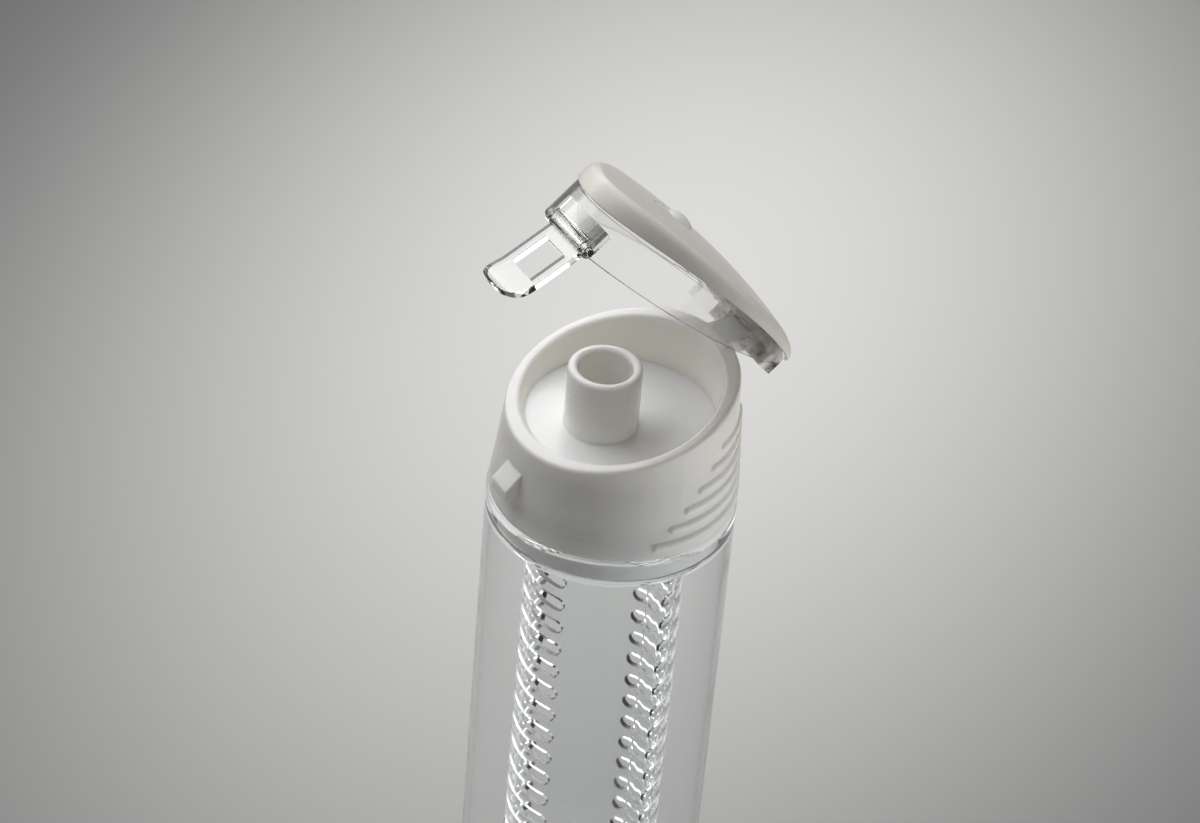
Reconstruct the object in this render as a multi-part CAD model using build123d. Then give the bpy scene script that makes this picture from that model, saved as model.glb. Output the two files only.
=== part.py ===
from build123d import *
import os
from math import atan2, copysign, cos, degrees, pi, sin

# A fruit infuser water bottle: a clear bottle with a screwed cap, a drinking spout in the cap's bowl,
# a hinged lid with a clasp, and a slotted infuser that hangs from the cap inside the bottle.
# The origin is the centre of the flat base, +Z is up, the clasp is at -Y and the lid's hinge at +Y.

# Bottle
body_radius = 36.5
body_wall = 2.0
body_height = 189.2
base_thickness = 3.0
base_edge_round = 5.0
base_inner_round = 4.0
shoulder_round = 2.4
shoulder_width = 6.3
shoulder_slope_height = 6.0
neck_wall = 2.2

# Cap, measured up from its lower edge
cap_seat_gap = 0.8
cap_inset = 0.5
cap_front_height = 25.9
cap_back_height = 42.8
taper_share = 0.09
lean_share = 0.04
mouth_inset = 6.1
rim_round = 1.1
bowl_front_depth = 1.8
floor_thickness = 2.2
floor_inset = 8.4
floor_shift = 0.9
thread_room = 1.1
skirt_wall = 1.4
skirt_groove_width = 1.0
skirt_groove_depth = 8.0
boss_wall = 1.6
boss_drop = 10.0
boss_neck_gap = 2.8

# Spout
spout_radius = 10.7
spout_wall = 2.8
spout_rise = 1.3
spout_shift = 5.9
spout_lip_round = 1.1

# Catch for the clasp
catch_half_width = 4.0
catch_depth = 4.2
catch_top_drop = 8.9
catch_tip_drop = 13.5
catch_foot_drop = 16.5
catch_root = 1.5

# Grip ribs, stepping up round each side of the cap
rib_count = 6
rib_half_width = 1.5
rib_ridge_half_width = 0.7
rib_rise = 0.7
rib_sink = 0.9
rib_first_height = 3.6
rib_pitch = 4.95
rib_first_angle = 79.0
rib_angle_step = 7.7
rib_last_angle = 152.0

# Neck gasket
gasket_thickness = 2.5
gasket_overlap = 0.2
gasket_gap = 0.05

# Lid hinge
hinge_set_back = 5.4
hinge_drop = 1.5
knuckle_radius = 2.5
hinge_pin_radius = 1.2
lug_half_width = 5.0
arm_half_width = 10.4
arm_reach = 3.4
pin_running_gap = 0.05
side_gap = 0.4
rest_open_angle = 52.5

# Lid
lid_gap = 0.4
lid_side_inset = 3.4
lid_front_overhang = 12.6
lid_heel = 6.3
lid_heel_depth = 3.3
lid_front_power = 1.8
lid_back_power = 2.3
outline_steps = 24
lid_over_spout = 8.2
lid_apex_y = 13.0
ridge_front_radius = 180.0
ridge_back_drop = 8.0335
crown_radius = 200.0
ridge_sweep_angle = 40.0
lid_wall = 1.7
lid_ceiling = 1.8
cover_top = 1.7
cover_wall = 1.6
cover_lip = 0.8
cover_band_front = 16.1
cover_band_middle = 6.2
cover_band_back = 8.1
snap_gap = 0.05

# Spout seal
seal_gap = 0.3
seal_overlap = 0.5
plug_depth = 2.4
plug_gap = 0.7
socket_wall = 1.5
socket_depth = 0.8

# Clasp
clasp_pin_set_out = 7.4
clasp_pin_drop = 0.1
clasp_pin_radius = 1.0
clasp_barrel_radius = 2.3
clasp_barrel_gap = 0.35
clasp_half_width = 7.8
clasp_thickness = 2.1
clasp_straight = 17.4
clasp_curl_radius = 12.0
clasp_curl_angle = 46.0
clasp_corner_round = 6.0
clasp_length = 26.2
clasp_rest_angle = 12.0
window_half_width = 5.0
window_top_drop = 5.6
window_bottom_drop = 17.0
cheek_thickness = 1.6
cheek_rise = 7.0

# Inlay in the lid's top
inlay_half_width = 5.0
inlay_half_length = 8.2
inlay_thickness = 0.9
inlay_forward = 29.0
inlay_gap = 0.25
bump_radius = 4.3
bump_height = 1.5
bump_back = 3.5

# Infuser
infuser_wall = 1.6
infuser_bottom = 2.0
infuser_foot_height = 18.0
infuser_edge_round = 4.0
infuser_top = 14.0
collar_gap = 0.4
collar_wall = 2.0
collar_engagement = 8.0
collar_overlap = 6.0
slot_height = 4.4
slot_pitch = 8.6
slot_first_drop = 22.0
slot_last_margin = 12.0
slot_half_angle = 52.0
strip_angle = 67.0

overrun = 1.0

# Sizes that follow from the ones above
neck_radius = body_radius - shoulder_width
neck_bore = neck_radius - neck_wall
cap_radius = body_radius - cap_inset
mouth_radius = cap_radius - mouth_inset
floor_radius = cap_radius - floor_inset
floor_height = cap_front_height - bowl_front_depth
ceiling_height = floor_height - floor_thickness
neck_height = cap_seat_gap + ceiling_height - gasket_thickness - 2 * gasket_gap
neck_top = body_height + neck_height
cap_z = body_height + cap_seat_gap
front_wall_y = (lean_share + taper_share) * cap_front_height - cap_radius
back_wall_y = (lean_share - taper_share) * cap_back_height + cap_radius
rim_slope = atan2(cap_back_height - cap_front_height, back_wall_y - front_wall_y)
rim_rise_share = (cap_back_height - cap_front_height) / (back_wall_y - front_wall_y)
rim_middle_height = cap_front_height - front_wall_y * rim_rise_share
rim_plane = Plane((0, 0, rim_middle_height), x_dir=(1, 0, 0), z_dir=(0, -sin(rim_slope), cos(rim_slope)))
skirt_bore = neck_radius + thread_room
boss_radius = neck_bore - boss_neck_gap
boss_bore = boss_radius - boss_wall
spout_bore = spout_radius - spout_wall
spout_top = cap_back_height + spout_rise
catch_top_height = cap_front_height - catch_top_drop
catch_tip_height = cap_front_height - catch_tip_drop
catch_foot_height = cap_front_height - catch_foot_drop
hinge_y = back_wall_y + hinge_set_back
hinge_height = cap_back_height - hinge_drop
hinge_axis = Axis((0, hinge_y, hinge_height), (-1, 0, 0))
lid_half_width = cap_radius - lid_side_inset
lid_front = front_wall_y - lid_front_overhang
lid_back = hinge_y + lid_heel
lid_middle = (lid_front + lid_back) / 2
lid_half_length = (lid_back - lid_front) / 2
lid_top_height = spout_top + lid_over_spout
ridge_back_radius = ((lid_back - lid_apex_y) ** 2 / ridge_back_drop + ridge_back_drop) / 2
heel_height = hinge_height - knuckle_radius
heel_y = lid_back - lid_heel_depth
core_inset = cover_wall + snap_gap
ceiling_drop = cover_top + snap_gap
clasp_pin_y = front_wall_y - clasp_pin_set_out
clasp_pin_height = cap_front_height - clasp_pin_drop
clasp_axis = Axis((0, clasp_pin_y, clasp_pin_height), (-1, 0, 0))
infuser_radius = boss_bore
infuser_low = cap_z - infuser_foot_height
slot_count = 1 + int((infuser_low - slot_last_margin - slot_first_drop) / slot_pitch)
everywhere = 2 * body_height


def profile(points, rounds=()):
    """A closed outline in the XZ plane whose named corners are rounded."""
    outline = make_face(Polyline(*[(x, 0, z) for x, z in points], close=True))
    for (x, z), radius in rounds:
        outline = fillet(outline.vertices().sort_by_distance((x, 0, z))[0], radius)
    return outline


def side_shape(points, half_width, rounds=()):
    """An outline in the YZ plane, drawn out equally to both sides."""
    outline = make_face(Polyline(*[(0, y, z) for y, z in points], close=True))
    for (y, z), radius in rounds:
        outline = fillet(outline.vertices().sort_by_distance((0, y, z))[0], radius)
    return extrude(outline, half_width, dir=(1, 0, 0), both=True)


def side_block(half_width, y_low, y_high, z_low, z_high):
    """A plain block between two depths and two heights."""
    return side_shape([(y_low, z_low), (y_high, z_low), (y_high, z_high), (y_low, z_high)], half_width)


def cross_rod(radius, half_width, y, z):
    """A round rod along X."""
    return Pos(0, y, z) * Rot(0, 90, 0) * Cylinder(radius, 2 * half_width)


def upright_rod(radius, low, high, y=0):
    """A round rod along Z between two heights."""
    return Pos(0, y, (low + high) / 2) * Cylinder(radius, high - low)


def tube(outer, inner, low, high, y=0):
    """An upright ring between two heights."""
    return upright_rod(outer, low, high, y) - upright_rod(inner, low, high, y)


def above(plane):
    """All the space on a plane's upper side."""
    return plane * Box(everywhere, everywhere, everywhere, align=(Align.CENTER, Align.CENTER, Align.MIN))


def cap_wall_y(height):
    """Where the cap's front wall stands at a height."""
    return (lean_share + taper_share) * height - cap_radius


def bottle_body():
    """The clear bottle: round-edged base, straight wall, shoulder and neck."""
    inner_radius = body_radius - body_wall
    slope_top = body_height - neck_wall
    slope_foot = slope_top - shoulder_slope_height
    points = [
        (0, 0),
        (body_radius, 0),
        (body_radius, body_height),
        (neck_radius, body_height),
        (neck_radius, neck_top),
        (neck_bore, neck_top),
        (neck_bore, slope_top),
        (inner_radius, slope_foot),
        (inner_radius, base_thickness),
        (0, base_thickness),
    ]
    rounds = [
        ((body_radius, 0), base_edge_round),
        ((body_radius, body_height), shoulder_round),
        ((inner_radius, slope_foot), shoulder_round),
        ((inner_radius, base_thickness), base_inner_round),
    ]
    return revolve(profile(points, rounds), axis=Axis.Z)


def neck_gasket():
    """The ring that seals the bottle's neck against the cap's underside."""
    high = ceiling_height - gasket_gap
    low = high - gasket_thickness
    return tube(neck_radius + gasket_overlap, neck_bore - gasket_overlap, low, high)


def cap_outer():
    """The cap's leaning outer form, cut off at the slanted rim."""
    top_height = cap_back_height + overrun
    low = Circle(cap_radius)
    top = Pos(0, lean_share * top_height, top_height) * Circle(cap_radius - taper_share * top_height)
    return loft([low, top]) - above(rim_plane)


def bowl_space():
    """The bowl's hollow, from its round floor to the slanted rim."""
    floor = Pos(0, floor_shift, floor_height) * Circle(floor_radius)
    mouth = rim_plane.offset(overrun) * Circle(mouth_radius)
    return loft([floor, mouth])


def bowled_cap():
    """The outer form with its bowl, its bead rounded inside and out."""
    shell = cap_outer() - bowl_space()
    rim_face = shell.faces().sort_by(Axis(rim_plane.origin, rim_plane.z_dir))[-1]
    return fillet(rim_face.edges(), rim_round)


def spout_tube():
    """The drinking spout with its rounded lip."""
    ring = tube(spout_radius, spout_bore, ceiling_height, spout_top, -spout_shift)
    return fillet(ring.edges().group_by(Axis.Z)[-1], spout_lip_round)


def catch_block():
    """The wedge that the clasp's window hooks over."""
    tip_y = cap_wall_y(catch_tip_height) - catch_depth
    root_y = cap_wall_y(catch_top_height) + catch_root
    points = [
        (root_y, catch_top_height),
        (cap_wall_y(catch_top_height), catch_top_height),
        (tip_y, catch_tip_height),
        (tip_y, catch_foot_height),
        (root_y, catch_foot_height),
    ]
    return side_shape(points, catch_half_width)


def grip_rib(index, side):
    """One raised rib along the cap's side, with round ends."""
    height = rib_first_height + index * rib_pitch
    start = rib_first_angle + index * rib_angle_step
    wall = cap_radius - taper_share * height
    points = [
        (wall - rib_sink, -rib_half_width),
        (wall, -rib_half_width),
        (wall + rib_rise, -rib_ridge_half_width),
        (wall + rib_rise, rib_ridge_half_width),
        (wall, rib_half_width),
        (wall - rib_sink, rib_half_width),
    ]
    band = revolve(profile(points), axis=Axis.Z, revolution_arc=rib_last_angle - start)
    end_points = [(wall - rib_sink, 0), (wall + rib_rise, 0)] + points[3:]
    end = revolve(profile(end_points), axis=Axis.X)
    rib = Rot(0, 0, start) * (band + end) + Rot(0, 0, rib_last_angle) * end
    rib = Pos(0, lean_share * height, height) * Rot(0, 0, -90) * rib
    return rib if side > 0 else mirror(rib, about=Plane.YZ)


def hinge_lug():
    """The lug behind the rim that carries the lid's pin."""
    root_y = mouth_radius + rim_round
    arm = side_block(lug_half_width, root_y, hinge_y, heel_height, hinge_height + knuckle_radius)
    return arm + cross_rod(knuckle_radius, lug_half_width, hinge_y, hinge_height)


def cap_hollows():
    """The cap's hollows: neck room, skirt groove, boss bore, spout way and hinge bore."""
    groove_inner = skirt_bore + skirt_wall
    groove_outer = groove_inner + skirt_groove_width
    neck_room = tube(skirt_bore, boss_radius, -overrun, ceiling_height)
    groove = tube(groove_outer, groove_inner, -overrun, skirt_groove_depth)
    bore = upright_rod(boss_bore, -boss_drop - overrun, ceiling_height)
    spout_way = upright_rod(spout_bore, ceiling_height - overrun, floor_height + overrun, -spout_shift)
    pin_bore = cross_rod(hinge_pin_radius + pin_running_gap, lug_half_width + overrun, hinge_y, hinge_height)
    return neck_room + groove + bore + spout_way + pin_bore


def cap_shell():
    """The cap with its bowl, spout, catch, ribs, hinge lug and the boss for the infuser."""
    shell = bowled_cap()
    shell += [grip_rib(index, side) for index in range(rib_count) for side in (-1, 1)]
    shell += catch_block() + hinge_lug()
    shell += upright_rod(boss_radius, -boss_drop, overrun)
    shell += spout_tube()
    return shell - cap_hollows()


def barrel(ridge_radius, drop, sweep):
    """A crowned barrel lying along X whose highest line is the lid's ridge, lowered by a drop."""
    half = lid_half_width + overrun
    axis_height = lid_top_height - ridge_radius
    top = lid_top_height - drop
    side = top - half * half / (2 * crown_radius)
    base = Polyline((half, 0, side), (half, 0, axis_height), (-half, 0, axis_height), (-half, 0, side))
    section = Pos(0, lid_apex_y, 0) * make_face(base + ThreePointArc((-half, 0, side), (0, 0, top), (half, 0, side)))
    return revolve(section, axis=Axis((0, lid_apex_y, axis_height), (1, 0, 0)), revolution_arc=sweep)


def under_ridge(drop):
    """Everything under the lid's crowned top, lowered by a drop."""
    front = barrel(ridge_front_radius, drop, ridge_sweep_angle)
    return front + barrel(ridge_back_radius, drop, -ridge_sweep_angle)


def under_edge(drop):
    """Everything under the cover's lower edge, lowered by a drop."""
    front = (0, lid_front - overrun, lid_top_height - cover_band_front - drop)
    middle = (0, lid_apex_y, lid_top_height - cover_band_middle - drop)
    back = (0, lid_back + overrun, lid_top_height - cover_band_back - drop)
    base = Polyline(back, (0, lid_back + overrun, 0), (0, lid_front - overrun, 0), front)
    section = make_face(base + ThreePointArc(front, middle, back))
    return extrude(section, lid_half_width + overrun, dir=(1, 0, 0), both=True)


def lid_oval(inset):
    """The lid's outline drawn in by an inset: an oval, pointed in front and blunter at the hinge."""
    points = []
    for step in range(outline_steps):
        angle = 2 * pi * step / outline_steps
        power = lid_back_power if sin(angle) > 0 else lid_front_power
        x = (lid_half_width - inset) * copysign(abs(cos(angle)) ** (2 / power), cos(angle))
        y = (lid_half_length - inset) * copysign(abs(sin(angle)) ** (2 / power), sin(angle))
        points.append((x, lid_middle + y))
    return make_face(Spline(*points, periodic=True))


def lid_prism(inset):
    """The lid's outline drawn in by an inset, as an upright prism."""
    return extrude(lid_oval(inset), lid_top_height + overrun)


def lid_block(inset, drop):
    """The lid's outline drawn in by an inset, under the top lowered by a drop."""
    return lid_prism(inset) & under_ridge(drop)


def lid_zone():
    """Where the lid may be: over the rim, and behind the cap's back wall down to the heel."""
    front = hinge_y - arm_reach
    heel = side_block(lid_half_width, front, lid_back + overrun, heel_height, lid_top_height)
    return above(rim_plane.offset(lid_gap)) + heel


def behind_heel(gap=0):
    """The space of the cover's solid heel behind the hinge."""
    return side_block(lid_half_width + overrun, heel_y - gap, lid_back + overrun, 0, lid_top_height + overrun)


def hinge_notch():
    """The notch that leaves room for the cap's lug."""
    high = hinge_height + knuckle_radius + side_gap
    return side_block(lug_half_width + side_gap, mouth_radius, heel_y - snap_gap, 0, high)


def inlay_oval(gap=0):
    """The inlay's oval, grown by a gap, as an upright prism."""
    oval = Pos(0, lid_apex_y - inlay_forward, 0) * Ellipse(inlay_half_width + gap, inlay_half_length + gap)
    return extrude(oval, lid_top_height + bump_height + overrun)


def lid_cover():
    """The white cover: a crowned top, a band round the clear lid and a solid heel."""
    block = lid_block(0, 0) & lid_zone()
    cover = block - (under_edge(0) - behind_heel())
    cover -= lid_block(cover_wall, cover_top) - behind_heel()
    return cover - hinge_notch() - (inlay_oval(inlay_gap) - under_ridge(inlay_thickness))


def top_inlay():
    """The oval inlay with a low domed bump near its hinge end."""
    plate = inlay_oval() & under_ridge(0)
    ball_radius = (bump_radius * bump_radius + bump_height * bump_height) / (2 * bump_height)
    bump_y = lid_apex_y - inlay_forward + bump_back
    top = lid_top_height - (inlay_forward - bump_back) ** 2 / (2 * ridge_front_radius)
    dome = Pos(0, bump_y, top + bump_height - ball_radius) * Sphere(ball_radius)
    return (plate + (dome & inlay_oval())) - under_ridge(inlay_thickness - snap_gap)


def lid_base_body():
    """The clear lid's wall under the cover's band, and its ceiling inside the cover."""
    lower = lid_prism(cover_lip) & under_edge(snap_gap)
    body = (lid_block(core_inset, ceiling_drop) + lower) & lid_zone()
    body -= lid_block(core_inset + lid_wall, ceiling_drop + lid_ceiling)
    body -= lid_prism(cover_lip + lid_wall) & under_edge(snap_gap + lid_wall)
    return body - behind_heel(snap_gap)


def lid_arms():
    """The thick arms on both sides of the cap's lug."""
    block = side_block(arm_half_width, hinge_y - arm_reach, heel_y - snap_gap, heel_height, lid_top_height)
    return block & lid_block(core_inset, ceiling_drop)


def seal_socket():
    """The ring under the lid's ceiling that holds the spout seal."""
    inner = spout_radius + seal_overlap + snap_gap
    ring = tube(inner + socket_wall, inner, spout_top - socket_depth, lid_top_height, -spout_shift)
    return ring & under_ridge(ceiling_drop)


def clasp_cheeks():
    """The blocks behind the lid's pointed front that carry the clasp's pin, before their gap is cut."""
    half = clasp_half_width + side_gap + cheek_thickness
    near = clasp_pin_y + clasp_barrel_radius
    high = clasp_pin_height + cheek_rise
    block = side_block(half, lid_front, near, clasp_pin_height, high) & lid_prism(cover_lip)
    return block + cross_rod(clasp_barrel_radius, half, clasp_pin_y, clasp_pin_height)


def clasp_room():
    """The room between the cheeks where the clasp's barrel turns and its plate swings."""
    half = clasp_half_width + side_gap
    reach = clasp_barrel_radius + clasp_barrel_gap
    front = lid_front - overrun
    back = clasp_pin_y + clasp_barrel_radius + overrun
    high = clasp_pin_height + clasp_barrel_gap
    room = side_block(half, front, back, clasp_pin_height - clasp_length, high)
    room += side_block(half, clasp_pin_y, back, clasp_pin_height, clasp_pin_height + cheek_rise + overrun)
    return room + cross_rod(reach, half, clasp_pin_y, clasp_pin_height)


def lid_base():
    """The clear lid, closed: wall, ceiling, arms, seal socket and the clasp's cheeks."""
    base = lid_base_body() + lid_arms() + seal_socket() + clasp_cheeks()
    base = base - clasp_room() - hinge_notch()
    base -= cross_rod(hinge_pin_radius, arm_half_width - lid_wall, hinge_y, hinge_height)
    pin_way = clasp_half_width + side_gap + cheek_thickness + overrun
    return base - cross_rod(clasp_pin_radius, pin_way, clasp_pin_y, clasp_pin_height)


def spout_seal():
    """The soft seal that closes the spout: a disc under the ceiling with a plug."""
    face = spout_top + seal_gap
    radius = spout_radius + seal_overlap
    disc = upright_rod(radius, face, lid_top_height, -spout_shift)
    disc = disc & under_ridge(ceiling_drop + lid_ceiling + snap_gap)
    return disc + upright_rod(spout_bore - plug_gap, face - plug_depth, face + seal_gap, -spout_shift)


def lid_hinge_pin():
    """The pin through both arms and the cap's lug."""
    return cross_rod(hinge_pin_radius, arm_half_width - lid_wall - snap_gap, hinge_y, hinge_height)


def clasp_front():
    """The clasp's outline seen from the front, with its two lower corners rounded."""
    low = clasp_pin_height - clasp_length
    high = clasp_pin_height + clasp_barrel_radius + overrun
    left = (-clasp_half_width, low)
    right = (clasp_half_width, low)
    points = [left, right, (clasp_half_width, high), (-clasp_half_width, high)]
    face = profile(points, [(left, clasp_corner_round), (right, clasp_corner_round)])
    return Pos(0, clasp_pin_y, 0) * extrude(face, 2 * clasp_length, dir=(0, 1, 0), both=True)


def clasp():
    """The clear clasp hanging straight down: barrel, window plate and curled thumb tab."""
    inner_y = clasp_pin_y + clasp_barrel_radius
    outer_y = inner_y - clasp_thickness
    low = clasp_pin_height - clasp_straight
    plate = side_block(clasp_half_width, outer_y, inner_y, low, clasp_pin_height)
    foot = Pos(0, (inner_y + outer_y) / 2, low) * Rectangle(2 * clasp_half_width, clasp_thickness)
    curl_axis = Axis((0, outer_y - clasp_curl_radius, low), (-1, 0, 0))
    shape = plate + revolve(foot, axis=curl_axis, revolution_arc=clasp_curl_angle)
    shape += cross_rod(clasp_barrel_radius, clasp_half_width, clasp_pin_y, clasp_pin_height)
    window_low = clasp_pin_height - window_bottom_drop
    window_high = clasp_pin_height - window_top_drop
    window = side_block(window_half_width, outer_y - overrun, inner_y + overrun, window_low, window_high)
    bore = cross_rod(clasp_pin_radius + pin_running_gap, clasp_half_width + overrun, clasp_pin_y, clasp_pin_height)
    return (shape & clasp_front()) - window - bore


def clasp_pin():
    """The pin that the clasp turns on."""
    half = clasp_half_width + side_gap + cheek_thickness
    return cross_rod(clasp_pin_radius, half, clasp_pin_y, clasp_pin_height)


def infuser_slot(index, side):
    """One long slot part of the way round, with round ends."""
    inner = infuser_radius - infuser_wall - overrun
    outer = infuser_radius + overrun
    half = slot_height / 2
    straight_angle = 2 * (slot_half_angle - degrees(half / infuser_radius))
    section = profile([(inner, -half), (outer, -half), (outer, half), (inner, half)])
    band = revolve(section, axis=Axis.Z, revolution_arc=straight_angle)
    end = Pos((inner + outer) / 2, 0, 0) * Rot(0, 90, 0) * Cylinder(half, outer - inner)
    cut = band + end + Rot(0, 0, straight_angle) * end
    middle = strip_angle + side * 90
    height = -slot_first_drop - index * slot_pitch
    return Pos(0, 0, height) * Rot(0, 0, middle - straight_angle / 2 - 90) * cut


def infuser_basket():
    """The clear infuser: a collar that screws into the cap's boss, and a slotted basket."""
    bore = infuser_radius - infuser_wall
    floor = infuser_bottom - infuser_low
    collar_outer = boss_bore - collar_gap
    collar_bore = collar_outer - collar_wall
    collar_foot = -infuser_top - collar_overlap
    points = [
        (0, -infuser_low),
        (infuser_radius, -infuser_low),
        (infuser_radius, -infuser_top),
        (collar_outer, -infuser_top),
        (collar_outer, collar_engagement),
        (collar_bore, collar_engagement),
        (collar_bore, collar_foot),
        (bore, collar_foot),
        (bore, floor),
        (0, floor),
    ]
    rounds = [
        ((infuser_radius, -infuser_low), infuser_edge_round),
        ((bore, floor), infuser_edge_round - infuser_wall),
    ]
    basket = revolve(profile(points, rounds), axis=Axis.Z)
    return basket - [infuser_slot(index, side) for index in range(slot_count) for side in (-1, 1)]


def placed(shape):
    """A shape measured from the cap's lower edge, moved up to its height over the base."""
    return Pos(0, 0, cap_z) * shape


def opened(shape):
    """A lid shape turned from closed to the open rest position."""
    return placed(shape.rotate(hinge_axis, rest_open_angle))


parts = {
    "bottle_body": bottle_body(),
    "neck_gasket": placed(neck_gasket()),
    "cap_shell": placed(cap_shell()),
    "infuser_basket": placed(infuser_basket()),
    "lid_base": opened(lid_base()),
    "lid_cover": opened(lid_cover()),
    "spout_seal": opened(spout_seal()),
    "lid_hinge_pin": opened(lid_hinge_pin()),
    "top_inlay": opened(top_inlay()),
    "clasp": opened(clasp().rotate(clasp_axis, clasp_rest_angle)),
    "clasp_pin": opened(clasp_pin()),
}

os.makedirs("parts", exist_ok=True)
for name, shape in parts.items():
    export_step(shape, "parts/" + name + ".step")
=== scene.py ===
from math import copysign, cos, pi, radians, sin, sqrt

import bmesh
import bpy
from mathutils import Matrix, Vector


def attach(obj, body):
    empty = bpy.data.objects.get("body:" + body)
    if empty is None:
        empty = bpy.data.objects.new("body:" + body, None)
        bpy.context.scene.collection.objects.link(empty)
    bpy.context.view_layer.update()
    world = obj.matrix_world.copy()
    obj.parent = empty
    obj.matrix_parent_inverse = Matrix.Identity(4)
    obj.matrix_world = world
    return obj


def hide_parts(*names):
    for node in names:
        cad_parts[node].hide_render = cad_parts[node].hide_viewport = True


# A clear infuser bottle with a white screw cap, its lid open, seen from above and in front.
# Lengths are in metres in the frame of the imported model: +Z up, clasp at -Y, hinge at +Y.

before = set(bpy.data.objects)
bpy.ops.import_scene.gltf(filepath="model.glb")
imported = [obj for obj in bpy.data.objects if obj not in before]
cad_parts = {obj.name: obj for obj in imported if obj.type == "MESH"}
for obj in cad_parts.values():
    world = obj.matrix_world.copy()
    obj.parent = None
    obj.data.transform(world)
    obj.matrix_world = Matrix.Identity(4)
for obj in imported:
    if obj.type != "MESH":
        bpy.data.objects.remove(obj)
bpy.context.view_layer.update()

MM = 0.001

# Camera: seen from the right of the clasp, well above the lid
CAMERA_TARGET_HEIGHT = 190 * MM
CAMERA_DISTANCE = 1155.16 * MM
CAMERA_ELEVATION = radians(38.65)
CAMERA_AZIMUTH = radians(55.7)
CAMERA_YAW = radians(-0.27)
CAMERA_PITCH = radians(0.99)
CAMERA_ROLL = radians(5.38)
SENSOR_WIDTH = 36.0
FOCAL_LENGTH = 119.83
NEAREST_SEEN = 0.05
FARTHEST_SEEN = 20.0

# Studio
FLOOR_HALF = 3.0
FLOOR_PAINT = (0.62, 0.61, 0.59, 1)
FLOOR_ROUGHNESS = 0.9
FLOOR_SHEEN = 0.1
# The floor's seen colour is a painted pool of light: a bright oval behind the object that fades to dim
# corners.
GLOW_AT = (-0.288, 0.219, 0.0)
GLOW_TURN = radians(55.7)
GLOW_STRETCH = (1.0, 1.6, 1.0)
GLOW_TILT = radians(45.0)
GLOW_REACH = (0.42, 0.33, 1.0)
PAINTED_POOL_BRIGHT = (0.76, 0.755, 0.745, 1)
PAINTED_POOL_DIM = (0.105, 0.106, 0.108, 1)
GLOW_SHARE = 0.88
OVERHEAD_PLACE = (-0.72, 0.0, 1.3)
OVERHEAD_SIZE = 1.9
OVERHEAD_POWER = 25.0
BOUNCE_PLACE = (0.26, 0.22, 0.03)
BOUNCE_AIM = (0, 0, 0.25)
BOUNCE_SIZE = 0.25
BOUNCE_POWER = 0.37
BOUNCE_SPREAD = radians(90.0)
ROOM_COLOUR = (0.62, 0.60, 0.57, 1)
ROOM_STRENGTH = 0.14
ROOM_SEEN = (0.62, 0.62, 0.615, 1)

# Lid cover, with the lid closed and heights measured from the cap's lower edge
CAP_HEIGHT = 190.0 * MM
HINGE_Y = 39.26 * MM
HINGE_HEIGHT = 41.3 * MM
REST_OPEN_ANGLE = radians(52.5)
COVER_HALF_WIDTH = 32.6 * MM
COVER_FRONT = -45.233 * MM
COVER_BACK = 45.56 * MM
COVER_MIDDLE_Y = (COVER_FRONT + COVER_BACK) / 2
FRONT_POWER = 1.8
BACK_POWER = 2.3
CROWN_TOP = 52.3 * MM
CROWN_APEX_Y = 13.0 * MM
RIDGE_FRONT_RADIUS = 180.0 * MM
RIDGE_BACK_RADIUS = 70.0 * MM
CROSS_CROWN_RADIUS = 200.0 * MM
BAND_FRONT = 36.2 * MM
BAND_MIDDLE = 46.1 * MM
BAND_BACK = 44.2 * MM
BAND_WALL = 1.6 * MM
COVER_CEILING = 1.7 * MM
HEEL_Y = 42.26 * MM
HEEL_FOOT = 38.8 * MM
HEEL_BEND = 1.3 * MM
SHOULDER_REACH_SIDE = 4.2 * MM
SHOULDER_REACH_TIP = 1.6 * MM
SHOULDER_POWER = 2.1
UPRIGHT_SHARE = 0.45
COVER_AROUND = 288
SHOULDER_RINGS = 12
CROWN_RINGS = 9
POCKET_HALF_WIDTH = 5.25 * MM
POCKET_HALF_LENGTH = 8.45 * MM
POCKET_Y = -16.0 * MM
POCKET_DEPTH = 0.9 * MM
POCKET_AROUND = 72
POCKET_INNER_SHARE = 0.5

# Neck thread and cap thread
NECK_RADIUS = 30.2 * MM
CAP_BORE = 31.3 * MM
THREAD_DEPTH = 0.5 * MM
THREAD_HALF_WIDTH = 0.9 * MM
THREAD_PITCH = 4.5 * MM
NECK_THREAD_LOW = 194.0 * MM
CAP_THREAD_LOW = 196.2 * MM
THREAD_TURNS = 2.1
THREAD_STEPS = 220
THREAD_SECTION = ((-1.0, -0.2), (-0.35, 1.0), (0.35, 1.0), (1.0, -0.2))
THREAD_FADE = 8

# Edges that turn more than this are sharp
SHARP_ANGLE = radians(40.0)

# Moulded grain and handling marks
PEEL_SCALE = 900.0
CLOUD_SCALE = 35.0
PEEL_DETAIL = 2.0
CLOUD_DETAIL = 3.0
SMUDGE_SCALE = 60.0
SMUDGE_DETAIL = 4.0
SMUDGE_FROM = 0.48
SMUDGE_TO = 0.72
SCRATCH_STRETCH = (40, 40, 900)
SCRATCH_TURN = (0.5, 0.3, 0.9)
SCRATCH_DETAIL = 1.0
SCRATCH_FROM = 0.66
SCRATCH_TO = 0.74
EDGE_SAMPLES = 6

# Clear and opaque plastic
PLASTIC_IOR = 1.49
CLEAR_PEEL_SCALE = 120.0
CLEAR_CLOUD_SCALE = 25.0
CLEAR_PEEL_DEPTH = 0.02 * MM
CLEAR_SHADOW_SHARE = 0.97
WARM_REACH = (1.0, 0.85, 0.6)
MILKY_REACH = (1.0, 0.95, 0.9)


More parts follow.
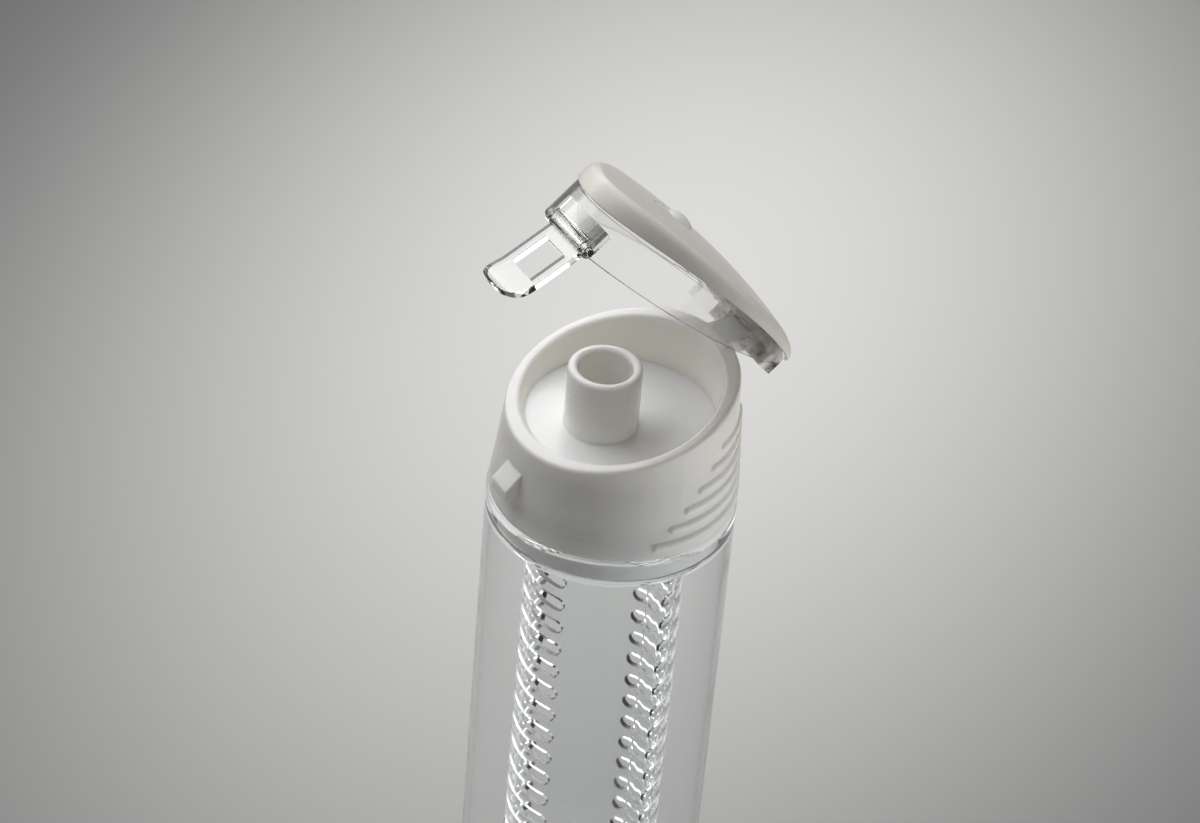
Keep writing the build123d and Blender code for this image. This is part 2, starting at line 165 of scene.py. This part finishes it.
def add_mesh(name, vertices, faces, material, smooth=True):
    """A new mesh object from vertices and faces."""
    mesh = bpy.data.meshes.new(name)
    mesh.from_pydata(vertices, [], faces)
    mesh.update()
    obj = bpy.data.objects.new(name, mesh)
    bpy.context.scene.collection.objects.link(obj)
    mesh.materials.append(material)
    for polygon in mesh.polygons:
        polygon.use_smooth = smooth
    return obj


# Node groups

def new_group(name, inputs, outputs):
    """An empty shader group with float inputs, given as name and default, and typed outputs."""
    group = bpy.data.node_groups.new(name, "ShaderNodeTree")
    for label, value in inputs:
        socket = group.interface.new_socket(name=label, in_out="INPUT", socket_type="NodeSocketFloat")
        socket.default_value = value
    for label, kind in outputs:
        group.interface.new_socket(name=label, in_out="OUTPUT", socket_type=kind)
    return group, group.nodes.new("NodeGroupInput"), group.nodes.new("NodeGroupOutput")


def moulded_grain():
    """The faint orange-peel of moulded plastic: a height, and a slow cloudiness from 0 to 1."""
    group, given, out = new_group(
        "Moulded Grain",
        [("Peel Scale", PEEL_SCALE), ("Cloud Scale", CLOUD_SCALE)],
        [("Height", "NodeSocketFloat"), ("Cloud", "NodeSocketFloat")],
    )
    place = group.nodes.new("ShaderNodeTexCoord")
    peel = group.nodes.new("ShaderNodeTexNoise")
    peel.inputs["Detail"].default_value = PEEL_DETAIL
    cloud = group.nodes.new("ShaderNodeTexNoise")
    cloud.inputs["Detail"].default_value = CLOUD_DETAIL
    link = group.links.new
    link(place.outputs["Object"], peel.inputs["Vector"])
    link(place.outputs["Object"], cloud.inputs["Vector"])
    link(given.outputs["Peel Scale"], peel.inputs["Scale"])
    link(given.outputs["Cloud Scale"], cloud.inputs["Scale"])
    link(peel.outputs["Fac"], out.inputs["Height"])
    link(cloud.outputs["Fac"], out.inputs["Cloud"])
    return group


def handling_marks():
    """Where hands have been: thin hairline scratches and soft smudges that raise the roughness."""
    group, given, out = new_group(
        "Handling Marks",
        [("Clean Roughness", 0.1), ("Smudge Amount", 0.1), ("Scratch Amount", 0.1)],
        [("Roughness", "NodeSocketFloat")],
    )
    link = group.links.new
    place = group.nodes.new("ShaderNodeTexCoord")
    smudge = group.nodes.new("ShaderNodeTexNoise")
    smudge.inputs["Scale"].default_value = SMUDGE_SCALE
    smudge.inputs["Detail"].default_value = SMUDGE_DETAIL
    smudge_mask = group.nodes.new("ShaderNodeMapRange")
    smudge_mask.inputs["From Min"].default_value = SMUDGE_FROM
    smudge_mask.inputs["From Max"].default_value = SMUDGE_TO
    stretch = group.nodes.new("ShaderNodeMapping")
    stretch.inputs["Scale"].default_value = SCRATCH_STRETCH
    stretch.inputs["Rotation"].default_value = SCRATCH_TURN
    scratch = group.nodes.new("ShaderNodeTexNoise")
    scratch.inputs["Scale"].default_value = 1.0
    scratch.inputs["Detail"].default_value = SCRATCH_DETAIL
    scratch_mask = group.nodes.new("ShaderNodeMapRange")
    scratch_mask.inputs["From Min"].default_value = SCRATCH_FROM
    scratch_mask.inputs["From Max"].default_value = SCRATCH_TO
    link(place.outputs["Object"], smudge.inputs["Vector"])
    link(smudge.outputs["Fac"], smudge_mask.inputs["Value"])
    link(place.outputs["Object"], stretch.inputs["Vector"])
    link(stretch.outputs["Vector"], scratch.inputs["Vector"])
    link(scratch.outputs["Fac"], scratch_mask.inputs["Value"])
    smudge_part = group.nodes.new("ShaderNodeMath")
    smudge_part.operation = "MULTIPLY_ADD"
    scratch_part = group.nodes.new("ShaderNodeMath")
    scratch_part.operation = "MULTIPLY_ADD"
    scratch_part.use_clamp = True
    link(smudge_mask.outputs["Result"], smudge_part.inputs[0])
    link(given.outputs["Smudge Amount"], smudge_part.inputs[1])
    link(given.outputs["Clean Roughness"], smudge_part.inputs[2])
    link(scratch_mask.outputs["Result"], scratch_part.inputs[0])
    link(given.outputs["Scratch Amount"], scratch_part.inputs[1])
    link(smudge_part.outputs["Value"], scratch_part.inputs[2])
    link(scratch_part.outputs["Value"], out.inputs["Roughness"])
    return group


MOULDED_GRAIN = moulded_grain()
HANDLING_MARKS = handling_marks()


def place_group(material, group, **values):
    """One of the groups placed in a material with its own values."""
    node = material.node_tree.nodes.new("ShaderNodeGroup")
    node.node_tree = group
    for label, value in values.items():
        node.inputs[label.replace("_", " ")].default_value = value
    return node


def bumped(material, height, depth, edge_round=0.0):
    """A bump from a height, as deep as given in metres, over edges that are shaded as if rounded."""
    bump = material.node_tree.nodes.new("ShaderNodeBump")
    bump.inputs["Distance"].default_value = depth
    bump.inputs["Strength"].default_value = 1.0
    material.node_tree.links.new(height, bump.inputs["Height"])
    if edge_round:
        soft_edge = material.node_tree.nodes.new("ShaderNodeBevel")
        soft_edge.samples = EDGE_SAMPLES
        soft_edge.inputs["Radius"].default_value = edge_round
        material.node_tree.links.new(soft_edge.outputs["Normal"], bump.inputs["Normal"])
    return bump.outputs["Normal"]


def new_material(name):
    """A node material and its Principled shader."""
    material = bpy.data.materials.new(name)
    material.use_nodes = True
    return material, material.node_tree.nodes["Principled BSDF"]


def clouded_colour(material, grain, pale, deep):
    """A colour that drifts between two close tones with the grain's cloudiness."""
    mix = material.node_tree.nodes.new("ShaderNodeMix")
    mix.data_type = "RGBA"
    mix.inputs["A"].default_value = (*pale, 1)
    mix.inputs["B"].default_value = (*deep, 1)
    material.node_tree.links.new(grain.outputs["Cloud"], mix.inputs["Factor"])
    return mix.outputs["Result"]


# Materials

def opaque_plastic(name, pale, deep, roughness, peel_depth, smudge=0.06, edge_round=0.0):
    """Moulded opaque plastic with a faint peel, cloudiness and handling marks."""
    material, shader = new_material(name)
    link = material.node_tree.links.new
    grain = place_group(material, MOULDED_GRAIN)
    marks = place_group(
        material, HANDLING_MARKS, Clean_Roughness=roughness, Smudge_Amount=smudge, Scratch_Amount=0.08
    )
    link(clouded_colour(material, grain, pale, deep), shader.inputs["Base Color"])
    link(marks.outputs["Roughness"], shader.inputs["Roughness"])
    link(bumped(material, grain.outputs["Height"], peel_depth, edge_round), shader.inputs["Normal"])
    shader.inputs["IOR"].default_value = PLASTIC_IOR
    return material, shader


def clear_plastic(name, tint, roughness):
    """Clear moulded plastic: bends light, carries faint smudges, and lets lamps through its shadow."""
    material, shader = new_material(name)
    link = material.node_tree.links.new
    marks = place_group(
        material, HANDLING_MARKS, Clean_Roughness=roughness, Smudge_Amount=0.05, Scratch_Amount=0.05
    )
    grain = place_group(
        material, MOULDED_GRAIN, Peel_Scale=CLEAR_PEEL_SCALE, Cloud_Scale=CLEAR_CLOUD_SCALE
    )
    shader.inputs["Base Color"].default_value = (*tint, 1)
    shader.inputs["Transmission Weight"].default_value = 1.0
    shader.inputs["IOR"].default_value = PLASTIC_IOR
    link(marks.outputs["Roughness"], shader.inputs["Roughness"])
    link(bumped(material, grain.outputs["Height"], CLEAR_PEEL_DEPTH), shader.inputs["Normal"])
    nodes = material.node_tree.nodes
    path = nodes.new("ShaderNodeLightPath")
    open_shader = nodes.new("ShaderNodeBsdfTransparent")
    shadow_tint = [channel * CLEAR_SHADOW_SHARE for channel in tint]
    open_shader.inputs["Color"].default_value = (*shadow_tint, 1)
    mix = nodes.new("ShaderNodeMixShader")
    link(path.outputs["Is Shadow Ray"], mix.inputs["Fac"])
    link(shader.outputs["BSDF"], mix.inputs[1])
    link(open_shader.outputs["BSDF"], mix.inputs[2])
    link(mix.outputs["Shader"], nodes["Material Output"].inputs["Surface"])
    return material


def translucent(shader, weight, reach, colour_reach=WARM_REACH):
    """Lets light soak a little way through a material, warmest where it goes deepest."""
    shader.inputs["Subsurface Weight"].default_value = weight
    shader.inputs["Subsurface Radius"].default_value = colour_reach
    shader.inputs["Subsurface Scale"].default_value = reach


def cap_white():
    """The cap's warm white plastic."""
    material, shader = opaque_plastic(
        "cap_white",
        pale=(0.945, 0.93, 0.90),
        deep=(0.925, 0.91, 0.88),
        roughness=0.2,
        peel_depth=0.01 * MM,
        edge_round=1.0 * MM,
    )
    translucent(shader, weight=0.5, reach=5.0 * MM)
    return material


def lid_white_painted_shade():
    """The lid cover's white plastic, a touch more matt than the cap, and painted darker and warmer than the
    cap's same white as painted shade.
    """
    material, shader = opaque_plastic(
        "lid_white_painted_shade",
        # These tones are the cap's white darkened and warmed: painted shade on the lid cover and hinge pin.
        pale=(0.77, 0.745, 0.70),
        deep=(0.74, 0.715, 0.67),
        roughness=0.3,
        peel_depth=0.01 * MM,
        edge_round=0.4 * MM,
    )
    translucent(shader, weight=0.3, reach=3.0 * MM)
    return material


def inlay_grey():
    """The inlay's pale grey plastic."""
    material, _ = opaque_plastic(
        "inlay_grey",
        pale=(0.77, 0.77, 0.76),
        deep=(0.74, 0.74, 0.73),
        roughness=0.2,
        peel_depth=0.008 * MM,
    )
    return material


def milky_silicone():
    """Soft milky silicone of the seals."""
    material, shader = opaque_plastic(
        "milky_silicone",
        pale=(0.82, 0.82, 0.81),
        deep=(0.78, 0.78, 0.77),
        roughness=0.42,
        peel_depth=0.02 * MM,
        smudge=0.1,
    )
    translucent(shader, weight=0.6, reach=3.0 * MM, colour_reach=MILKY_REACH)
    return material


def seen_rays(tree):
    """A mask of 1 on the rays that show the background: straight, mirrored or through glass."""
    path = tree.nodes.new("ShaderNodeLightPath")
    total = tree.nodes.new("ShaderNodeMath")
    total.operation = "ADD"
    seen = tree.nodes.new("ShaderNodeMath")
    seen.operation = "ADD"
    seen.use_clamp = True
    tree.links.new(path.outputs["Is Camera Ray"], total.inputs[0])
    tree.links.new(path.outputs["Is Glossy Ray"], total.inputs[1])
    tree.links.new(total.outputs["Value"], seen.inputs[0])
    tree.links.new(path.outputs["Is Transmission Ray"], seen.inputs[1])
    return seen.outputs["Value"]


def laid_out(tree, vector, location, turn, stretch):
    """A place measured from a location, in turned and stretched axes."""
    mapping = tree.nodes.new("ShaderNodeMapping")
    mapping.vector_type = "TEXTURE"
    mapping.inputs["Location"].default_value = location
    mapping.inputs["Rotation"].default_value = (0, 0, turn)
    mapping.inputs["Scale"].default_value = stretch
    tree.links.new(vector, mapping.inputs["Vector"])
    return mapping.outputs["Vector"]


def painted_light_pool(tree):
    """The floor as it is seen: a painted pool of light, a bright oval behind the object that fades to dim
    corners.
    """
    place = tree.nodes.new("ShaderNodeTexCoord")
    across = laid_out(tree, place.outputs["Object"], GLOW_AT, GLOW_TURN, GLOW_STRETCH)
    oval = laid_out(tree, across, (0, 0, 0), GLOW_TILT, GLOW_REACH)
    away = tree.nodes.new("ShaderNodeVectorMath")
    away.operation = "LENGTH"
    fade = tree.nodes.new("ShaderNodeMapRange")
    fade.interpolation_type = "SMOOTHSTEP"
    mix = tree.nodes.new("ShaderNodeMix")
    mix.data_type = "RGBA"
    mix.inputs["A"].default_value = PAINTED_POOL_BRIGHT
    mix.inputs["B"].default_value = PAINTED_POOL_DIM
    glow = tree.nodes.new("ShaderNodeEmission")
    tree.links.new(oval, away.inputs[0])
    tree.links.new(away.outputs["Value"], fade.inputs["Value"])
    tree.links.new(fade.outputs["Result"], mix.inputs["Factor"])
    tree.links.new(mix.outputs["Result"], glow.inputs["Color"])
    return glow.outputs["Emission"]


def floor_paint():
    """A pale matt floor that takes the shadow, with a painted pool of light over it where it is seen."""
    material, shader = new_material("floor_paint")
    tree = material.node_tree
    shader.inputs["Base Color"].default_value = FLOOR_PAINT
    shader.inputs["Roughness"].default_value = FLOOR_ROUGHNESS
    shader.inputs["Specular IOR Level"].default_value = FLOOR_SHEEN
    share = tree.nodes.new("ShaderNodeMath")
    share.operation = "MULTIPLY"
    share.inputs[1].default_value = GLOW_SHARE
    mix = tree.nodes.new("ShaderNodeMixShader")
    tree.links.new(seen_rays(tree), share.inputs[0])
    tree.links.new(share.outputs["Value"], mix.inputs["Fac"])
    tree.links.new(shader.outputs["BSDF"], mix.inputs[1])
    tree.links.new(painted_light_pool(tree), mix.inputs[2])
    tree.links.new(mix.outputs["Shader"], tree.nodes["Material Output"].inputs["Surface"])
    return material


CLEAR_BODY = clear_plastic("clear_body", tint=(0.985, 0.995, 0.992), roughness=0.015)
CLEAR_INFUSER = clear_plastic("clear_infuser", tint=(0.985, 0.993, 0.99), roughness=0.03)
CLEAR_LID = clear_plastic("clear_lid", tint=(0.99, 0.99, 0.982), roughness=0.04)
CAP_WHITE = cap_white()
LID_WHITE_PAINTED_SHADE = lid_white_painted_shade()
INLAY_GREY = inlay_grey()
MILKY_SILICONE = milky_silicone()

NODE_MATERIALS = {
    "bottle_body": CLEAR_BODY,
    "neck_gasket": MILKY_SILICONE,
    "cap_shell": CAP_WHITE,
    "infuser_basket": CLEAR_INFUSER,
    "lid_base": CLEAR_LID,
    "lid_cover": LID_WHITE_PAINTED_SHADE,
    "spout_seal": MILKY_SILICONE,
    "lid_hinge_pin": LID_WHITE_PAINTED_SHADE,
    "top_inlay": INLAY_GREY,
    "clasp": CLEAR_LID,
    "clasp_pin": CLEAR_LID,
}


def dress_nodes():
    """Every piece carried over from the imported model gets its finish."""
    for name, material in NODE_MATERIALS.items():
        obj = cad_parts[name]
        if not obj.material_slots:
            obj.data.materials.append(material)
        for slot in obj.material_slots:
            slot.material = material


# Lid cover

def crown_height(x, y):
    """The crowned top's height over a place."""
    ridge = RIDGE_FRONT_RADIUS if y < CROWN_APEX_Y else RIDGE_BACK_RADIUS
    reach = ridge - x * x / (2 * CROSS_CROWN_RADIUS)
    return CROWN_TOP - ridge + sqrt(reach * reach - (y - CROWN_APEX_Y) ** 2)


def band_height(y):
    """The height of the band's lower edge: an arc from the front over the middle to the back."""
    front, middle, back = COVER_FRONT, CROWN_APEX_Y, COVER_BACK
    return (
        BAND_FRONT * (y - middle) * (y - back) / ((front - middle) * (front - back))
        + BAND_MIDDLE * (y - front) * (y - back) / ((middle - front) * (middle - back))
        + BAND_BACK * (y - front) * (y - middle) / ((back - front) * (back - middle))
    )


def ceiling_height(x, y):
    """The height of the cover's underside, which stays above the band's lower edge."""
    return max(crown_height(x, y) - COVER_CEILING, band_height(y))


def edge_height(y):
    """The cover's lower edge, which drops to the foot of the heel behind the hinge."""
    share = min(1.0, max(0.0, (y - HEEL_Y) / HEEL_BEND))
    share = share * share * (3 - 2 * share)
    return band_height(y) * (1 - share) + HEEL_FOOT * share


def shoulder_reach(step):
    """How far in the shoulder's rounding reaches: tight at the tips, wide at the sides."""
    sideways = abs(cos(2 * pi * step / COVER_AROUND))
    return SHOULDER_REACH_TIP + (SHOULDER_REACH_SIDE - SHOULDER_REACH_TIP) * sideways


def cover_oval(step, inset):
    """A place on the cover's outline, drawn in by an inset."""
    angle = 2 * pi * step / COVER_AROUND
    power = BACK_POWER if sin(angle) > 0 else FRONT_POWER
    half_length = (COVER_BACK - COVER_FRONT) / 2
    x = (COVER_HALF_WIDTH - inset) * copysign(abs(cos(angle)) ** (2 / power), cos(angle))
    y = (half_length - inset) * copysign(abs(sin(angle)) ** (2 / power), sin(angle))
    return x, COVER_MIDDLE_Y + y


def drawn_in(flat, share):
    """Places on an outline, drawn towards the cover's middle by a share."""
    return [(x * share, COVER_MIDDLE_Y + (y - COVER_MIDDLE_Y) * share) for x, y in flat]


def opened(point):
    """A place on the closed lid, moved to where it lies with the lid open at rest."""
    x, y, z = point
    y, z = y - HINGE_Y, z - HINGE_HEIGHT
    turned_y = y * cos(REST_OPEN_ANGLE) + z * sin(REST_OPEN_ANGLE)
    turned_z = z * cos(REST_OPEN_ANGLE) - y * sin(REST_OPEN_ANGLE)
    return x, HINGE_Y + turned_y, CAP_HEIGHT + HINGE_HEIGHT + turned_z


def shoulder_point(step, share):
    """A place on the rounded shoulder, from the band at share 0 to the crown at share 1."""
    x, y = cover_oval(step, share * shoulder_reach(step))
    low = edge_height(y)
    high = crown_height(x, y)
    rise = (1 - (1 - share) ** SHOULDER_POWER) ** (1 / SHOULDER_POWER)
    return x, y, low + (high - low) * (UPRIGHT_SHARE + (1 - UPRIGHT_SHARE) * rise)


def cover_rings():
    """The cover's rings of places, from the crown out over the shoulder and in under the ceiling."""
    steps = range(COVER_AROUND)
    rings = []
    crown = [cover_oval(step, shoulder_reach(step)) for step in steps]
    for ring in range(1, CROWN_RINGS):
        flat = drawn_in(crown, ring / CROWN_RINGS)
        rings.append([(x, y, crown_height(x, y)) for x, y in flat])
    for ring in range(SHOULDER_RINGS + 1):
        share = cos(pi / 2 * ring / SHOULDER_RINGS)
        rings.append([shoulder_point(step, share) for step in steps])
    outer = [cover_oval(step, 0) for step in steps]
    rings.append([(x, y, edge_height(y)) for x, y in outer])
    inner = [cover_oval(step, BAND_WALL) for step in steps]
    inner = [(x, min(y, HEEL_Y)) for x, y in inner]
    rings.append([(x, y, edge_height(outer_y)) for (x, y), (_, outer_y) in zip(inner, outer)])
    for ring in range(CROWN_RINGS, 0, -1):
        flat = drawn_in(inner, ring / CROWN_RINGS)
        rings.append([(x, y, ceiling_height(x, y)) for x, y in flat])
    return rings


def ringed_mesh(name, rings, first, last, material):
    """A closed mesh over rings of places, capped by a point before the first and after the last."""
    around = len(rings[0])
    points = [first, *[point for ring in rings for point in ring], last]
    vertices = [opened(point) for point in points]
    faces = []
    for step in range(around):
        ahead = (step + 1) % around
        faces.append((0, 1 + step, 1 + ahead))
        for ring in range(len(rings) - 1):
            a, b = 1 + ring * around, 1 + (ring + 1) * around
            faces.append((a + step, b + step, b + ahead, a + ahead))
        end = 1 + (len(rings) - 1) * around
        faces.append((end + ahead, end + step, len(vertices) - 1))
    return add_mesh(name, vertices, faces, material)


def pocket_ring(share, lift):
    """An oval of places over the inlay's pocket, shrunk by a share and lifted off the crown."""
    places = []
    for step in range(POCKET_AROUND):
        angle = 2 * pi * step / POCKET_AROUND
        x = POCKET_HALF_WIDTH * share * cos(angle)
        y = POCKET_Y + POCKET_HALF_LENGTH * share * sin(angle)
        places.append((x, y, crown_height(x, y) + lift))
    return places


def pocket_cutter():
    """The oval pocket that the inlay lies in, as a closed shape to cut away."""
    rings = [
        pocket_ring(POCKET_INNER_SHARE, POCKET_DEPTH),
        pocket_ring(1, POCKET_DEPTH),
        pocket_ring(1, -POCKET_DEPTH),
        pocket_ring(POCKET_INNER_SHARE, -POCKET_DEPTH),
    ]
    top = crown_height(0, POCKET_Y)
    first = (0, POCKET_Y, top + POCKET_DEPTH)
    last = (0, POCKET_Y, top - POCKET_DEPTH)
    return ringed_mesh("pocket", rings, first, last, LID_WHITE_PAINTED_SHADE)


def outward(obj):
    """Turns all the faces of a mesh outward and marks its sharp edges."""
    tidy = bmesh.new()
    tidy.from_mesh(obj.data)
    bmesh.ops.recalc_face_normals(tidy, faces=tidy.faces)
    tidy.to_mesh(obj.data)
    tidy.free()
    obj.data.set_sharp_from_angle(angle=SHARP_ANGLE)


def add_lid_cover():
    """The white cover with its rounded shoulder, heel and the inlay's pocket."""
    top = crown_height(0, COVER_MIDDLE_Y)
    first = (0, COVER_MIDDLE_Y, top)
    last = (0, COVER_MIDDLE_Y, top - COVER_CEILING)
    cover = ringed_mesh("lid_cover_shell", cover_rings(), first, last, LID_WHITE_PAINTED_SHADE)
    outward(cover)
    cutter = pocket_cutter()
    outward(cutter)
    cut = cover.modifiers.new("pocket", "BOOLEAN")
    cut.operation = "DIFFERENCE"
    cut.object = cutter
    cut.solver = "EXACT"
    graph = bpy.context.evaluated_depsgraph_get()
    carved = bpy.data.meshes.new_from_object(cover.evaluated_get(graph))
    cover.modifiers.clear()
    cover.data = carved
    bpy.data.objects.remove(cutter)
    outward(cover)
    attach(cover, "lid")
    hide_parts("lid_cover")


# Threads

def thread_ridge(name, radius, depth, low, material, inward=False):
    """A screw ridge round a cylinder, its ends fading into the wall; inward for a nut's side."""
    side = -1 if inward else 1
    vertices, faces = [], []
    count = len(THREAD_SECTION)
    for step in range(THREAD_STEPS + 1):
        turn = THREAD_TURNS * step / THREAD_STEPS
        from_end = min(step, THREAD_STEPS - step)
        fade = min(1.0, THREAD_FADE * from_end / THREAD_STEPS)
        angle = 2 * pi * turn
        for across, out in THREAD_SECTION:
            reach = radius + side * depth * (out * fade if out > 0 else out)
            height = low + THREAD_PITCH * turn + across * THREAD_HALF_WIDTH
            vertices.append((reach * cos(angle), reach * sin(angle), height))
    for step in range(THREAD_STEPS):
        for k in range(count):
            a, b = step * count + k, step * count + (k + 1) % count
            faces.append((a, b, b + count, a + count))
    faces.append(tuple(range(count)))
    faces.append(tuple(THREAD_STEPS * count + k for k in range(count)))
    obj = add_mesh(name, vertices, faces, material)
    outward(obj)
    return obj


def add_threads():
    """The neck's thread and the cap's."""
    neck = thread_ridge("neck_thread", NECK_RADIUS, THREAD_DEPTH, NECK_THREAD_LOW, CLEAR_BODY)
    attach(neck, "bottle")
    cap = thread_ridge("cap_thread", CAP_BORE, THREAD_DEPTH, CAP_THREAD_LOW, CAP_WHITE, inward=True)
    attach(cap, "cap")


# Studio

def add_floor():
    """The floor that the bottle stands on."""
    h = FLOOR_HALF
    corners = [(-h, -h, 0), (h, -h, 0), (h, h, 0), (-h, h, 0)]
    floor = add_mesh("floor", corners, [(0, 1, 2, 3)], floor_paint(), smooth=False)


def add_lamp(name, place, target, size, power):
    """A square soft lamp at a place, aimed at a target."""
    data = bpy.data.lights.new(name, "AREA")
    data.shape = "SQUARE"
    data.size = size
    data.energy = power
    lamp = bpy.data.objects.new(name, data)
    lamp.location = place
    lamp.rotation_euler = (Vector(target) - Vector(place)).to_track_quat("-Z", "Y").to_euler()
    bpy.context.scene.collection.objects.link(lamp)
    return lamp


def add_light():
    """A big soft lamp overhead, a low one at the right for the table's bounce, and a dim room."""
    top = (0, 0, CAMERA_TARGET_HEIGHT)
    add_lamp("overhead", OVERHEAD_PLACE, top, OVERHEAD_SIZE, OVERHEAD_POWER)
    bounce = add_lamp("bounce", BOUNCE_PLACE, BOUNCE_AIM, BOUNCE_SIZE, BOUNCE_POWER)
    bounce.data.spread = BOUNCE_SPREAD
    bounce.visible_glossy = False
    bounce.visible_transmission = False
    world = bpy.data.worlds.new("room")
    bpy.context.scene.world = world
    world.use_nodes = True
    tree = world.node_tree
    room = tree.nodes["Background"]
    room.inputs["Color"].default_value = ROOM_COLOUR
    room.inputs["Strength"].default_value = ROOM_STRENGTH
    seen = tree.nodes.new("ShaderNodeBackground")
    seen.inputs["Color"].default_value = ROOM_SEEN
    mix = tree.nodes.new("ShaderNodeMixShader")
    tree.links.new(seen_rays(tree), mix.inputs["Fac"])
    tree.links.new(room.outputs["Background"], mix.inputs[1])
    tree.links.new(seen.outputs["Background"], mix.inputs[2])
    tree.links.new(mix.outputs["Shader"], tree.nodes["World Output"].inputs["Surface"])


def camera_axes():
    """The camera's right, up and forward directions, turned by yaw, pitch and roll from a straight look."""
    forward = Vector((0, cos(CAMERA_ELEVATION), -sin(CAMERA_ELEVATION)))
    right = forward.cross(Vector((0, 0, 1))).normalized()
    up = right.cross(forward)
    forward = (
        forward * cos(CAMERA_YAW) * cos(CAMERA_PITCH)
        + right * sin(CAMERA_YAW) * cos(CAMERA_PITCH)
        + up * sin(CAMERA_PITCH)
    ).normalized()
    right = forward.cross(up).normalized()
    up = right.cross(forward)
    rolled_right = right * cos(CAMERA_ROLL) + up * sin(CAMERA_ROLL)
    rolled_up = up * cos(CAMERA_ROLL) - right * sin(CAMERA_ROLL)
    return rolled_right, rolled_up, forward


def add_camera():
    """The camera, looking down at the cap and the open lid."""
    data = bpy.data.cameras.new("camera")
    data.sensor_width = SENSOR_WIDTH
    data.sensor_fit = "HORIZONTAL"
    data.lens = FOCAL_LENGTH
    data.clip_start = NEAREST_SEEN
    data.clip_end = FARTHEST_SEEN
    camera = bpy.data.objects.new("camera", data)
    bpy.context.scene.collection.objects.link(camera)
    from_front = Vector((0, -cos(CAMERA_ELEVATION), sin(CAMERA_ELEVATION))) * CAMERA_DISTANCE
    right, up, forward = camera_axes()
    turn = Matrix.Rotation(CAMERA_AZIMUTH, 3, "Z")
    basis = turn @ Matrix((right, up, -forward)).transposed()
    place = turn @ from_front + Vector((0, 0, CAMERA_TARGET_HEIGHT))
    camera.matrix_world = Matrix.Translation(place) @ basis.to_4x4()
    bpy.context.scene.camera = camera


dress_nodes()
add_lid_cover()
add_threads()
add_floor()
add_light()
add_camera()
bpy.context.scene.view_settings.view_transform = "Standard"
